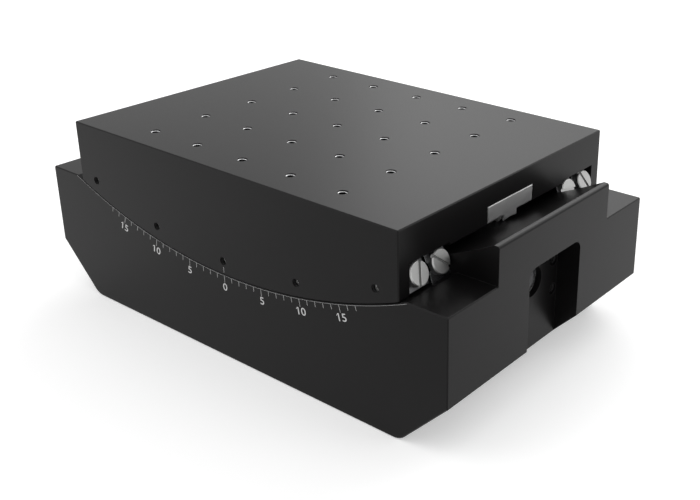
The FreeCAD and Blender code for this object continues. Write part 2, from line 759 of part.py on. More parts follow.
def table_underside(body):
    """Cut the stepped arc: skirts, rail seats, middle, and the pocket of the toothed sector."""
    section = new_sketch(body, "YZ_Plane", place(y=AXIS))
    outside = "table_width / 2 + skirt_thickness"
    pocket_half = "(sector_half_width + sector_side_gap)"
    steps = [
        (outside, SKIRT),
        (SKIRT_INSIDE, SKIRT),
        (SKIRT_INSIDE, CEILING),
        (RIDGE_HALF, CEILING),
        (RIDGE_HALF, UNDERSIDE),
        (pocket_half, UNDERSIDE),
        (pocket_half, f"{UNDERSIDE} - sector_depth"),
    ]
    right = [(across, f"-({radius})") for across, radius in steps]
    left = [(f"-({across})", radius) for across, radius in reversed(right)]
    below = f"-({BED} + table_length / 4)"
    outline(section, right + left + [(f"-({outside})", below), (outside, below)])
    turn_about(body, "Groove", section, "H_Axis", "4 * tilt_limit", both_ways=True)


def table_grid(body):
    """The square grid of tapped holes, each with a small bevel and a drill point."""
    reach = "grid_pitch * (grid_count - 1)"
    hole = new_sketch(body, "XZ_Plane", place(x=f"-{reach} / 2", y="total_height", z=f"{reach} / 2"))
    corners = [
        ("0", "0"),
        ("grid_hole_radius + grid_hole_bevel", "0"),
        ("grid_hole_radius", "-grid_hole_bevel"),
        ("grid_hole_radius", "-grid_hole_depth"),
        ("0", "-grid_hole_depth - grid_hole_radius / 2"),
    ]
    outline(hole, corners)
    drilled = turn_about(body, "Groove", hole, "V_Axis")
    pattern = body.newObject("PartDesign::LinearPattern", "table_grid")
    pattern.Originals = [drilled]
    pattern.Direction = (hole, ["H_Axis"])
    pattern.Direction2 = (hole, ["N_Axis"])
    pattern.Reversed2 = True
    bind(pattern, "Length", reach)
    bind(pattern, "Length2", reach)
    bind(pattern, "Occurrences", "grid_count")
    bind(pattern, "Occurrences2", "grid_count")
    body.Tip = pattern
    document.recompute()


# Crossed-roller guide


def make_rail(label, side, on_table):
    """An arc rail with a right-angled groove, screw holes and a tapped hole in each end."""
    body = new_body(label)
    inner = RIDGE_HALF if not on_table else f"{SKIRT_INSIDE} - rail_width"
    outer = f"{RIDGE_HALF} + rail_width" if not on_table else SKIRT_INSIDE
    low = BED if not on_table else f"({CEILING} + rail_height)"
    high = f"({BED} - rail_height)" if not on_table else CEILING
    face, back = (outer, inner) if not on_table else (inner, outer)
    inward = "-" if not on_table else "+"
    apex = "(sqrt(2) * (roller_diameter / 2 + roller_clearance))"
    opening = f"({apex} - rail_gap / 2)"
    waist = f"{ROLLER_ACROSS} {inward} ({apex} - groove_relief)"
    bottom = f"{ROLLER_ACROSS} {inward} ({apex} + groove_relief)"
    profile = [
        (back, f"-{low}"),
        (face, f"-{low}"),
        (face, f"-(roller_path_radius + {opening})"),
        (waist, "-(roller_path_radius + groove_relief)"),
        (bottom, "-(roller_path_radius + groove_relief)"),
        (bottom, "-(roller_path_radius - groove_relief)"),
        (waist, "-(roller_path_radius - groove_relief)"),
        (face, f"-(roller_path_radius - {opening})"),
        (face, f"-{high}"),
        (back, f"-{high}"),
    ]
    sign = "-" if side < 0 else ""
    section = new_sketch(body, "YZ_Plane", place(y=AXIS))
    outline(section, [(f"{sign}({across})", height) for across, height in profile])
    turn_about(body, "Revolution", section, "H_Axis", f"2 * {RAIL_ANGLE}", both_ways=True)
    inset = "rail_screw_inset" if not on_table else "-rail_screw_inset"
    line = f"{sign}({back} + {inset})"
    start, head_up = (low, True) if on_table else (high, False)
    bore, head = "screw3_radius + hole_clearance", "screw3_head_radius + counterbore_clearance"
    axis = tilt_axis(body)
    radial_holes(body, axis, *RAIL_SCREWS, [line], start, bore, "rail_height + drill_run_out", head_up)
    radial_holes(body, axis, *RAIL_SCREWS, [line], start, head, "screw3_head_height + play", head_up)
    stop_line = STOP_LINES["table" if on_table else "base"]
    for end_angle, reverse in ((f"-{RAIL_ANGLE}", False), (RAIL_ANGLE, True)):
        turned = place(y=AXIS, axis=(1, 0, 0), turn=end_angle)
        hole_place = turned + " * " + place(f"{sign}({stop_line})", f"-{STOP_SCREW_RADIUS}")
        end_face = new_sketch(body, "YZ_Plane", hole_place)
        circle(end_face, "0", "0", "stop_thread_radius + seat_clearance")
        pocket(body, end_face, "stop_thread_length + drill_run_out", reverse=reverse)
    return body


def make_cage(label, side):
    """A thin arc strip with a window for each roller."""
    body = new_body(label)
    sign = "-" if side < 0 else ""
    section = new_sketch(body, "YZ_Plane", place(y=AXIS))
    near, far = f"{ROLLER_ACROSS} - cage_thickness / 2", f"{ROLLER_ACROSS} + cage_thickness / 2"
    rectangle(section, f"{sign}({near})", "-(roller_path_radius + cage_height / 2)", f"{sign}({far})",
              "-(roller_path_radius - cage_height / 2)")
    turn_about(body, "Revolution", section, "H_Axis", f"2 * {CAGE_ANGLE}", both_ways=True)
    spread = f"roller_spacing * ({ROLLERS} - 1)"
    window = new_sketch(body, "XZ_Plane", place(y=AXIS, turn=f"-{spread} / 2"))
    half_length, half_height = "(cage_window_length / 2)", "(cage_window_height / 2)"
    rectangle(window, f"-{half_length}", f"-(roller_path_radius + {half_height})", half_length,
              f"-(roller_path_radius - {half_height})")
    first = pocket(body, window, "2 * table_width", both_ways=True)
    repeat_about(body, first, (window, ["N_Axis"]), spread, ROLLERS)
    return body


def make_rollers(label, side, roller):
    """Rollers whose axes lean one way and the other in turn."""
    across = f"-{ROLLER_ACROSS}" if side < 0 else ROLLER_ACROSS
    places = []
    for index, angle in enumerate(even_angles("roller_spacing", ROLLERS)):
        lean = "45" if index % 2 else "-45"
        spot = at_radius(angle, "roller_path_radius", across)
        places.append(spot + " * " + place(axis=(1, 0, 0), turn=lean) + " * " + place(z="-roller_length / 2"))
    group(label, roller, places)


def make_guide():
    for label, side in (("front", -1), ("back", 1)):
        make_rail("base_rail_" + label, side, False)
        make_rail("table_rail_" + label, side, True)
        make_cage("cage_" + label, side)
    roller = primitive("Cylinder", "roller", Radius="roller_diameter / 2", Height="roller_length")
    make_rollers("rollers_front", -1, roller)
    make_rollers("rollers_back", 1, roller)
    make_rail_screws()
    make_stop_screws()


def make_rail_screws():
    length = "rail_height - screw3_head_height - play + rail_screw_grip"
    screw = socket_screw("rail_screw", "screw3_radius", length, "screw3_head_radius", "screw3_head_height",
                         "screw3_socket_radius")
    base_places, table_places = [], []
    for angle in even_angles(*RAIL_SCREWS):
        for across in both_sides(f"{RIDGE_HALF} + rail_screw_inset"):
            seat = f"{BED} - rail_height + screw3_head_height + play"
            base_places.append(at_radius(angle, seat, across))
        for across in both_sides(f"{SKIRT_INSIDE} - rail_screw_inset"):
            seat = f"{CEILING} + rail_height - screw3_head_height - play"
            table_places.append(at_radius(angle, seat, across) + " * " + place(axis=(1, 0, 0), turn="180"))
    group("base_rail_screws", screw, base_places)
    group("table_rail_screws", screw, table_places)


def make_stop_screws():
    """Slotted screws on the rail ends. Their slots stand as they were left, each at its own angle."""
    screw = stop_screw("stop_screw")
    slot_turns = {"base": ("-43", "-11"), "table": ("69", "-66")}
    for owner, line in STOP_LINES.items():
        places = []
        for end_angle, quarter in ((f"-{RAIL_ANGLE}", "90"), (RAIL_ANGLE, "-90")):
            for across, slot_turn in zip(both_sides(line), slot_turns[owner]):
                spot = at_radius(end_angle, STOP_SCREW_RADIUS, across)
                facing = place(axis=(0, 1, 0), turn=quarter)
                places.append(spot + " * " + facing + " * " + place(turn=slot_turn))
        group(owner + "_rail_stop_screws", screw, places)


def make_preload_screws():
    screw = set_screw("preload_screw", "preload_radius", "preload_length", "preload_radius / 2")
    places = []
    for angle in even_angles(*PRELOAD_SCREWS):
        for across, tip_turn in ((f"-{SKIRT_INSIDE}", "90"), (SKIRT_INSIDE, "-90")):
            spot = at_radius(angle, "roller_path_radius", across)
            places.append(spot + " * " + place(axis=(1, 0, 0), turn=tip_turn))
    group("preload_screws", screw, places)


# Worm drive


def make_worm_sector():
    """Toothed arc under the table: a wide flange with a narrow rim of teeth."""
    body = new_body("worm_sector")
    end = "table_length / 2"
    for inner, outer, half in (
        (f"({UNDERSIDE} - sector_depth)", UNDERSIDE, "sector_half_width"),
        (f"({UNDERSIDE} - sector_depth / 2)", GEAR_TIP, "rim_half_width"),
    ):
        far = [f"-sqrt({radius}^2 - ({end})^2)" for radius in (outer, inner)]
        corners = [(f"-{end}", far[0]), (end, far[0]), (end, far[1]), (f"-{end}", far[1])]
        side = outline(new_sketch(body, "XZ_Plane", place(y=AXIS)), corners, {0: (outer, 1), 2: (inner, -1)})
        pad(body, side, f"2 * {half}", both_ways=True)
    ends = [-number(end), number(end)]
    dress_edges(body, "Chamfer", "Size", "edge_break", lambda edge: ends_at(edge, "X", ends))
    throat = new_sketch(body, "YZ_Plane", place(y=AXIS))
    circle(throat, "0", f"-({GEAR_TIP} - rim_throat_depth + rim_throat_radius)", "rim_throat_radius")
    turn_about(body, "Groove", throat, "H_Axis", "4 * tilt_limit", both_ways=True)
    axis = tilt_axis(body)
    line = both_sides("sector_half_width - sector_screw_inset")
    head = "screw3_head_radius + counterbore_clearance"
    bore, depth = "screw3_radius + hole_clearance", "sector_depth + drill_run_out"
    radial_holes(body, axis, *SECTOR_SCREWS, line, UNDERSIDE, bore, depth, True)
    radial_holes(body, axis, *SECTOR_SCREWS, line, UNDERSIDE, head, "screw3_head_height + play", True)
    cut_tooth_gaps(body, axis)
    return body


def cut_tooth_gaps(body, axis):
    """One gap of the teeth, leaning by the worm's lead angle, repeated along the arc."""
    spread = f"{TOOTH_ANGLE} * ({TOOTH_GAPS} - 1)"
    first_turn = place(y=AXIS, turn=f"-{spread} / 2")
    gap = new_sketch(body, "XZ_Plane", first_turn + " * " + place(axis=(0, 1, 0), turn=LEAD_ANGLE))
    half_pitch_width = "(pi * gear_module / 4)"
    root = f"({UNDERSIDE} + tooth_root_land)"
    mouth = f"({GEAR_TIP} + gear_module / 2)"
    corners = []
    for radius, side in ((mouth, "-"), (mouth, ""), (root, ""), (root, "-")):
        half = f"({half_pitch_width} + ({radius} - {GEAR_PITCH}) * tan(pressure_angle))"
        corners.append((f"{side}{half}", f"-{radius}"))
    outline(gap, corners)
    first = pocket(body, gap, "3 * rim_half_width", both_ways=True)
    repeat_about(body, first, axis, spread, TOOTH_GAPS)


def make_worm():
    """Hollow worm with a single thread and a smooth hub at each end."""
    body = new_body("worm")
    section = new_sketch(body, "XZ_Plane", place(y=WORM_HEIGHT))
    bore = "shaft_radius + seat_clearance"
    right = [("worm_hub_half", WORM_ROOT), ("worm_hub_half", "worm_collar_radius")]
    right += [("worm_slot_half_length", "worm_collar_radius"), ("worm_slot_half_length", bore)]
    left = [(f"-{x}", y) for x, y in reversed(right)]
    outline(section, right + left)
    turn_about(body, "Revolution", section, "H_Axis")
    pin = new_sketch(body, "XY_Plane", place(x="worm_pin_place", z=WORM_HEIGHT))
    circle(pin, "0", "0", "worm_pin_radius + seat_clearance")
    pocket(body, pin, "4 * worm_pitch_radius", both_ways=True)
    thread = new_sketch(body, "XZ_Plane", place(y=WORM_HEIGHT))
    start = "-pi * gear_module * worm_turns / 2"
    foot = f"({WORM_ROOT} - worm_thread_sink)"
    corners = []
    for radius, side in ((foot, "-"), (foot, "+"), (WORM_TIP, "+"), (WORM_TIP, "-")):
        slope = f"(worm_pitch_radius - {radius}) * tan(pressure_angle)"
        half = f"(pi * gear_module / 4 - gear_backlash / 2 + {slope})"
        corners.append((f"{start} {side} {half}", radius))
    outline(thread, corners)
    document.recompute()
    before = body.Shape.Volume
    helix = body.newObject("PartDesign::AdditiveHelix", "worm_thread")
    helix.Profile = thread
    helix.ReferenceAxis = (thread, ["H_Axis"])
    helix.Mode = "pitch-turns-angle"
    bind(helix, "Pitch", "pi * gear_module")
    bind(helix, "Turns", "worm_turns")
    settle(body, helix, before)
    return body


def make_worm_shaft():
    """Ground shaft: thin at the coupling, with its right end in the drive bay."""
    body = new_body("worm_shaft")
    section = new_sketch(body, "XZ_Plane", place(y=WORM_HEIGHT))
    left = f"-({COUPLING} - play)"
    step = f"-({COUPLING} - coupling_length / 2 - play)"
    right = f"{BAY_BEARING} + shaft_end_proud"
    corners = [
        (left, "0"),
        (right, "0"),
        (right, "shaft_radius - edge_break"),
        (f"{right} - edge_break", "shaft_radius"),
        (step, "shaft_radius"),
        (step, "shaft_end_radius"),
        (left, "shaft_end_radius"),
    ]
    outline(section, corners)
    turn_about(body, "Revolution", section, "H_Axis")
    pin = new_sketch(body, "XY_Plane", place(x="worm_pin_place", z=WORM_HEIGHT))
    circle(pin, "0", "0", "worm_pin_radius + seat_clearance")
    pocket(body, pin, "4 * worm_pitch_radius", both_ways=True)
    return body


def make_worm_pin():
    half = f"({WORM_ROOT} - edge_break)"
    pin = primitive("Cylinder", "worm_pin", place("worm_pin_place", "0", f"{WORM_HEIGHT} - {half}"),
                    Radius="worm_pin_radius", Height=f"2 * {half}")
    sub_parts.append(pin)


def ring(name, inner, outer, width, start):
    """A plain ring about the worm shaft's line, from start along X."""
    body = document.addObject("PartDesign::Body", name)
    section = rectangle(new_sketch(body, "XZ_Plane"), start, inner, f"{start} + {width}", outer)
    turn_about(body, "Revolution", section, "H_Axis")
    return body


def make_bearings():
    """Thin shielded ball bearings: rings and shields. The shields close in the balls."""
    outer_bore = "(bearing_radius - bearing_outer_wall)"
    inner_top = "(shaft_radius + bearing_inner_wall)"
    outer = ring("outer_ring", outer_bore, "bearing_radius", "bearing_width", "0")
    inner = ring("inner_ring", "shaft_radius + seat_clearance", inner_top, "bearing_width", "0")
    shield_width = "bearing_width - 2 * bearing_shield_recess"
    shield_bore, shield_edge = f"{inner_top} + bearing_shield_gap", f"{outer_bore} - seat_clearance"
    shield = ring("shield", shield_bore, shield_edge, shield_width, "bearing_shield_recess")
    starts = [
        "-worm_slot_half_length - bearing_width",
        "worm_slot_half_length",
        f"{BAY_BEARING} - bearing_width",
    ]
    places = [place(start, "0", WORM_HEIGHT) for start in starts]
    group("bearing_outer_rings", outer, places)
    group("bearing_inner_rings", inner, places)
    group("bearing_shields", shield, places)


def make_coupling():
    """One-piece coupling: slits from both sides make its middle flexible."""
    body = new_body("shaft_coupling")
    middle = place(y=WORM_HEIGHT, z=f"-{COUPLING}")
    section = circle(new_sketch(body, "YZ_Plane", middle), "0", "0", "coupling_radius")
    pad(body, section, "coupling_length", both_ways=True)
    for reverse, radius in ((True, "shaft_end_radius"), (False, "motor_shaft_radius")):
        bore = circle(new_sketch(body, "YZ_Plane", middle), "0", "0", f"{radius} + seat_clearance")
        pocket(body, bore, "coupling_length", reverse=reverse)
    slit_spots = even_angles("2 * coupling_slit", "coupling_slits")
    for index, spot in enumerate(slit_spots):
        side = "" if index % 2 else "-"
        slit = new_sketch(body, "XY_Plane", place(x=f"-{COUPLING} + {spot}", z=WORM_HEIGHT))
        edges = (f"{side}(coupling_radius - coupling_web)", f"{side}(-2 * coupling_radius)")
        rectangle(slit, "-coupling_slit / 2", edges[0], "coupling_slit / 2", edges[1])
        pocket(body, slit, "3 * coupling_radius", both_ways=True)
    for spot in both_sides("coupling_length / 2 - coupling_screw_inset"):
        hole = new_sketch(body, "XY_Plane", place(x=f"-{COUPLING} + {spot}", z=WORM_HEIGHT))
        circle(hole, "0", "0", "screw2_radius + seat_clearance")
        pocket(body, hole, "2 * coupling_radius")
    return body


def make_coupling_screws():
    """Two set screws that reach from the coupling's underside to the shafts."""
    screws = []
    for side, radius in (("-", "motor_shaft_radius"), ("+", "shaft_end_radius")):
        reach = f"({radius} + seat_clearance)"
        length = f"coupling_radius - {reach} - play"
        screw = set_screw("coupling_screw", "screw2_radius", length, "coupling_screw_socket")
        spot = place(f"-{COUPLING} {side} (coupling_length / 2 - coupling_screw_inset)", "0", WORM_HEIGHT)
        copy = document.addObject("App::Link", "coupling_screw_copy")
        copy.LinkedObject = screw
        bind(copy, "Placement", spot + " * " + place(z=f"-{reach}", axis=(1, 0, 0), turn="180"))
        screws.append(copy)
    together = document.addObject("Part::Compound", "coupling_screws")
    together.Label = "coupling_screws"
    together.Links = screws
    sub_parts.append(together)


def make_sector_screws():
    """Low screws that hold the toothed arc up against the table."""
    length = "sector_depth - screw3_head_height - play + rail_screw_grip"
    screw = socket_screw("sector_screw", "screw3_radius", length, "screw3_head_radius", "screw3_head_height",
                         "screw3_socket_radius")
    places = []
    for angle in even_angles(*SECTOR_SCREWS):
        for across in both_sides("sector_half_width - sector_screw_inset"):
            seat = f"{UNDERSIDE} - screw3_head_height - play"
            places.append(at_radius(angle, seat, across) + " * " + place(axis=(1, 0, 0), turn="180"))
    group("sector_screws", screw, places)


# Motor


def motor_block(label, front, length, bore):
    """A square slice of the motor, from front along -X, with a round bore."""
    body = new_body(label)
    section = new_sketch(body, "YZ_Plane", place(z=f"-({front})"))
    rounded_rectangle(section, "motor_size / 2", "motor_size / 2", "motor_corner", WORM_HEIGHT)
    circle(section, "0", WORM_HEIGHT, bore)
    pad(body, section, length, reverse=True)
    return body


def motor_bearing_seat(body, spot, reverse):
    seat = new_sketch(body, "YZ_Plane", place(z=f"-({spot})"))
    circle(seat, "0", WORM_HEIGHT, "motor_bearing_radius + seat_clearance")
    pocket(body, seat, "motor_bearing_width + play", reverse=reverse)


def make_motor():
    """Small stepper motor: flange with a pilot, stator, rear cap, rotor, bearings and screws."""
    flange = motor_block("motor_flange", MOTOR_FACE, "motor_flange_length", "motor_shaft_radius + play")
    pilot = new_sketch(flange, "YZ_Plane", place(z=f"-{MOTOR_FACE}"))
    circle(pilot, "0", WORM_HEIGHT, "motor_pilot_radius")
    circle(pilot, "0", WORM_HEIGHT, "motor_shaft_radius + play")
    pad(flange, pilot, "motor_pilot_height")
    taps = new_sketch(flange, "YZ_Plane", place(z=f"-{MOTOR_FACE}"))
    half_span = "motor_screw_span / 2"
    four_circles(taps, half_span, half_span, "screw2_radius + seat_clearance", WORM_HEIGHT)
    pocket(flange, taps, "motor_flange_length - motor_tap_floor")
    motor_bearing_seat(flange, STATOR_FRONT, True)
    motor_block("motor_stator", STATOR_FRONT, "motor_stator_length", "rotor_radius + rotor_gap")
    cap = motor_block("motor_rear_cap", CAP_FRONT, "motor_cap_length", "motor_shaft_radius + play")
    motor_bearing_seat(cap, CAP_FRONT, False)
    make_rotor()
    make_motor_bearings()
    length = "motor_wall + motor_flange_length / 2"
    screw = socket_screw("motor_screw", "screw2_radius", length, "screw2_head_radius", "screw2_head_height",
                         "screw2_socket_radius")
    places = []
    for across in both_sides(half_span):
        for height in (f"{WORM_HEIGHT} - {half_span}", f"{WORM_HEIGHT} + {half_span}"):
            places.append(place(f"-{MOTOR_FACE} + motor_wall", across, height, (0, 1, 0), "90"))
    group("motor_screws", screw, places)


def make_rotor():
    """Rotor on the motor's shaft, which reaches into the coupling."""
    body = new_body("motor_rotor")
    section = new_sketch(body, "XZ_Plane", place(y=WORM_HEIGHT))
    rotor_front = f"-({STATOR_FRONT} + play)"
    rotor_back = f"-({CAP_FRONT} - play)"
    shaft_front = f"-({COUPLING} + play)"
    shaft_back = f"-({MOTOR_BACK} - motor_shaft_inset)"
    corners = [
        (shaft_back, "0"),
        (shaft_front, "0"),
        (shaft_front, "motor_shaft_radius"),
        (rotor_front, "motor_shaft_radius"),
        (rotor_front, "rotor_radius"),
        (rotor_back, "rotor_radius"),
        (rotor_back, "motor_shaft_radius"),
        (shaft_back, "motor_shaft_radius"),
    ]
    outline(section, corners)
    turn_about(body, "Revolution", section, "H_Axis")
    return body


def make_motor_bearings():
    bore = "motor_shaft_radius + motor_bearing_clearance"
    bearing = ring("motor_bearing", bore, "motor_bearing_radius", "motor_bearing_width", "0")
    starts = [f"-{STATOR_FRONT} + play", f"-{CAP_FRONT} - motor_bearing_width - play"]
    group("motor_bearings", bearing, [place(start, "0", WORM_HEIGHT) for start in starts])


# Covers and connector


def make_access_cover():
    """Flat cover over the coupling's room, sunk in the base's bottom."""
    body = new_body("access_cover")
    half_length = "(coupling_length / 2 + coupling_room + access_cover_margin)"
    half_width = "(coupling_radius + coupling_room + access_cover_margin)"
    offset = place(x=f"-{COUPLING}", z="edge_break")
    plate = new_sketch(body, "XY_Plane", offset)
    rounded_rectangle(plate, half_length, half_width, "cover_corner")
    pad(body, plate, "cover_thickness")
    along = "(coupling_length / 2 + coupling_room + cover_screw_inset)"
    across = "(coupling_radius + coupling_room + cover_screw_inset)"
    cut_screw_seats(body, "XY_Plane", offset, along, across, "0")
    places = []
    for x in "-+":
        for y in "-+":
            places.append(place(f"-{COUPLING} {x} {along}", f"0 {y} {across}", "edge_break", (1, 0, 0), "180"))
    group("access_cover_screws", cover_screw(), places)


def cover_screw():
    length = "cover_thickness + cover_screw_grip"
    return flush_screw("cover_screw", "screw2_radius", length, "screw2_head_radius", "flush_head_height")


def cut_screw_seats(body, plane, offset, along, across, middle):
    """Countersunk holes for the four corner screws of a cover."""
    shallow = new_sketch(body, plane, offset)
    four_circles(shallow, along, across, "screw2_head_radius + hole_clearance", middle)
    pocket(body, shallow, "flush_head_height + hole_clearance", reverse=True)
    through = new_sketch(body, plane, offset)
    four_circles(through, along, across, "screw2_radius + hole_clearance", middle)
    pocket(body, through, "2 * cover_thickness", reverse=True)


def make_end_cover():
    """Cover of the motor's chamber in the left end, with a round socket in its middle."""
    body = new_body("end_cover")
    offset = place(z="-base_length / 2")
    plate = new_sketch(body, "YZ_Plane", offset)
    rounded_rectangle(plate, "end_cover_width / 2", "end_cover_height / 2", "cover_corner", WORM_HEIGHT)
    circle(plate, "0", WORM_HEIGHT, "connector_radius + seat_clearance")
    pad(body, plate, "cover_thickness")
    across = "(end_cover_width / 2 - cover_screw_inset)"
    rise = "(end_cover_height / 2 - cover_screw_inset)"
    cut_screw_seats(body, "YZ_Plane", offset, across, rise, WORM_HEIGHT)
    places = []
    for y in "-+":
        for z in "-+":
            height = f"{WORM_HEIGHT} {z} {rise}"
            places.append(place("-base_length / 2", f"0 {y} {across}", height, (0, 1, 0), "-90"))
    group("end_cover_screws", cover_screw(), places)


def make_connector():
    shell = new_body("connector_shell")
    outer = new_sketch(shell, "YZ_Plane", place(z="-base_length / 2"))
    circle(outer, "0", WORM_HEIGHT, "connector_radius")
    circle(outer, "0", WORM_HEIGHT, "connector_radius - connector_wall")
    pad(shell, outer, "connector_depth")
    insert = new_body("connector_insert")
    disc = new_sketch(insert, "YZ_Plane", place(z="-base_length / 2 + connector_insert_depth"))
    circle(disc, "0", WORM_HEIGHT, "connector_radius - connector_wall - seat_clearance")
    pad(insert, disc, "connector_depth - connector_insert_depth")
    count = int(number("connector_pins"))
    holes = new_sketch(insert, "YZ_Plane", place(z="-base_length / 2 + connector_insert_depth"))
    spots = []
    for index in range(count):
        turn = f"360 * {index} / connector_pins"
        rise = f"connector_pin_circle * sin({turn})"
        spots.append((f"connector_pin_circle * cos({turn})", f"{WORM_HEIGHT} + {rise}"))
    for across, height in spots:
        circle(holes, across, height, "connector_pin_radius + seat_clearance")
    pocket(insert, holes, "connector_depth", reverse=True)
    pin = primitive("Cylinder", "connector_pin", Radius="connector_pin_radius", Height="connector_depth - play")
    places = [place("-base_length / 2 + play", across, height, (0, 1, 0), "90") for across, height in spots]
    group("connector_pins", pin, places)


# Limit sensors


def make_limit_sensors():
    """Slotted light sensors let into the ridge, one near each end of the travel."""
    block_place = place("-sensor_length / 2", "-sensor_width / 2", "-sensor_depth")
    block = primitive("Box", "sensor_block", block_place, Length="sensor_length", Width="sensor_width",
                      Height="sensor_depth")
    slot_place = place("-sensor_length", "-sensor_slot_width / 2", "-sensor_slot_depth")
    slot = primitive("Box", "sensor_slot", slot_place, Length="2 * sensor_length", Width="sensor_slot_width",
                     Height="2 * sensor_slot_depth")
    sensor = combine("Cut", "sensor", block, slot)
    places = [at_radius(angle, RIDGE, SENSOR_ACROSS) for angle in both_sides(SENSOR_ANGLE)]
    group("limit_sensors", sensor, places)


def make_sensor_flag():
    """Thin vane that hangs from the table into the sensors' slots."""
    body = new_body("sensor_flag")
    section = new_sketch(body, "YZ_Plane", place(y=AXIS))
    near, far = f"{SENSOR_ACROSS} - flag_thickness / 2", f"{SENSOR_ACROSS} + flag_thickness / 2"
    top = f"-({UNDERSIDE} + seat_clearance)"
    foot = f"-({UNDERSIDE} + flag_foot_thickness)"
    corners = [
        (near, f"-({UNDERSIDE} + flag_reach)"),
        (far, f"-({UNDERSIDE} + flag_reach)"),
        (far, foot),
        (f"{far} + flag_foot_width", foot),
        (f"{far} + flag_foot_width", top),
        (near, top),
    ]
    outline(section, corners)
    turn_about(body, "Revolution", section, "H_Axis", "2 * flag_angle", both_ways=True)
    holes = new_sketch(body, "XY_Plane", at_radius("0", CEILING, FLAG_SCREW_LINE))
    for spot in both_sides("flag_screw_spacing / 2"):
        circle(holes, spot, "0", "screw2_radius + hole_clearance")
    pocket(body, holes, "ridge_gap")
    length = "flag_foot_thickness + flag_screw_grip"
    screw = socket_screw("flag_screw", "screw2_radius", length, "screw2_head_radius", "screw2_head_height",
                         "screw2_socket_radius")
    places = []
    for spot in both_sides("flag_screw_spacing / 2"):
        seat = at_radius("0", f"{UNDERSIDE} + flag_foot_thickness + seat_clearance", FLAG_SCREW_LINE)
        places.append(seat + " * " + place(x=spot) + " * " + place(axis=(1, 0, 0), turn="180"))
    group("sensor_flag_screws", screw, places)


def write_parts():
    """Check every object and every sub-part, then write one STEP file for each sub-part."""
    document.recompute()
    for item in document.Objects:
        if "Invalid" in item.State or "Error" in item.State:
            raise RuntimeError(f"{item.Name} failed: {item.State}")
    for item in sub_parts:
        if item.Shape.isNull() or not item.Shape.isValid():
            raise RuntimeError(f"{item.Label} has no valid shape")
    os.makedirs("parts", exist_ok=True)
    for item in sub_parts:
        item.Shape.exportStep(f"parts/{item.Label}.step")
        print(item.Label, len(item.Shape.Solids), round(item.Shape.Volume, 1))


make_base_body()
make_table_plate()
make_guide()
make_preload_screws()
make_worm_sector()
make_sector_screws()
make_worm()
make_worm_shaft()
make_worm_pin()
make_bearings()
make_coupling()
make_coupling_screws()
make_motor()
make_access_cover()
make_end_cover()
make_connector()
make_limit_sensors()
make_sensor_flag()
write_parts()
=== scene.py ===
import json
import math

import bmesh
import bpy
from mathutils import Matrix, Vector


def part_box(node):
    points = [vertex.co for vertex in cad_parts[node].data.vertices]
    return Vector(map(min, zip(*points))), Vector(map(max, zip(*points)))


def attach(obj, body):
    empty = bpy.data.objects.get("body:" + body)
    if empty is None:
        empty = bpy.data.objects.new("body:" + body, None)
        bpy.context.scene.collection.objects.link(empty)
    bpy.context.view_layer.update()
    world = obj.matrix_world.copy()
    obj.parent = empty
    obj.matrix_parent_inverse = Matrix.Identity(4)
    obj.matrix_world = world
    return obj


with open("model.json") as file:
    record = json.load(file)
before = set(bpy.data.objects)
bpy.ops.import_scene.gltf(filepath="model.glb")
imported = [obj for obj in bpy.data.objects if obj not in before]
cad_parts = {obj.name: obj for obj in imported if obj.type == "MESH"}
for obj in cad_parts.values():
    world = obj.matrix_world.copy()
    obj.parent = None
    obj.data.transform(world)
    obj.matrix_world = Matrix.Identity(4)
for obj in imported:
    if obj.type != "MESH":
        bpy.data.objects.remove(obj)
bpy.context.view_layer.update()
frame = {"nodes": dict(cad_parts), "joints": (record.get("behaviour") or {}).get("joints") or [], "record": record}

# Motorized goniometer stage: the degree scale, the threads of its tapped holes, finishes, light and camera.
# Metres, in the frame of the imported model. Tilt axis along Y, the scale on the side that faces -Y.

MM = 0.001

# Where things are
TILT_AXIS_HEIGHT = next(joint["pos_m"][2] for joint in frame["joints"] if joint["name"] == "table_tilt")
SCALE_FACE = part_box("base_body")[0].y
TABLE_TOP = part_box("table_plate")[1].z
BASE_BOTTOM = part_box("base_body")[0].z
BED_RADIUS = 225 * MM
SKIRT_RADIUS = 224.6 * MM

# Degree scale
SCALE_REACH = 17
NUMBERED_STEP = 5
NUMBERED_REACH = 15
TICK_WIDTH = 0.13 * MM
TICK_START = 0.42 * MM
SHORT_TICK = 2 * MM
LONG_TICK = 3 * MM
NUMBER_DROP = 5.15 * MM
DIGIT_HEIGHT = 2.95 * MM
DIGIT_WIDENING = 1.2
DIGIT_BOLDNESS = 0.002
ONE_FLAG = (0.2, 0.24, 0.1)
# The line along the bed's edge is a painted highlight of its chamfer, in the scale's paint.
ARC_LINE_REACH = 23.1
ARC_LINE_WIDTH = 0.06 * MM
ARC_LINE_PARTS = 92
INDEX_LENGTH = 2.4 * MM
INDEX_WIDTH = 0.12 * MM
INDEX_GAP = 0.4 * MM
PAINT_PROUD = 0.02 * MM
PAINT_DEPTH = 0.12 * MM

# Tapped holes
GRID_PITCH = 25 * MM
GRID_COUNT = 5
GRID_HOLE_RADIUS = 1.65 * MM
GRID_HOLE_DEPTH = 9 * MM
BAY_WALL = 95.5 * MM
BAY_HOLE_RADIUS = 2.4 * MM
BAY_HOLE_DEPTH = 9 * MM
BAY_HOLE_HALF_SPAN = 14 * MM
BAY_HOLE_HEIGHTS = (30 * MM, 42 * MM)
FOOT_HOLE_RADIUS = 2.5 * MM
FOOT_HOLE_DEPTH = 12 * MM
FOOT_HOLE_SPAN = 150 * MM
FOOT_HOLE_WIDTH = 100 * MM
SKIRT_HOLE_RADIUS = 1.65 * MM
SKIRT_HOLE_DEPTH = 1.4 * MM
SKIRT_HOLE_LINE = 219.5 * MM
SKIRT_HOLE_STEP = 10
SKIRT_HOLE_COUNT = 5
TABLE_PITCH = 0.7 * MM
SKIRT_PITCH = 0.5 * MM
BASE_PITCH = 0.8 * MM
THREAD_START = 0.12 * MM
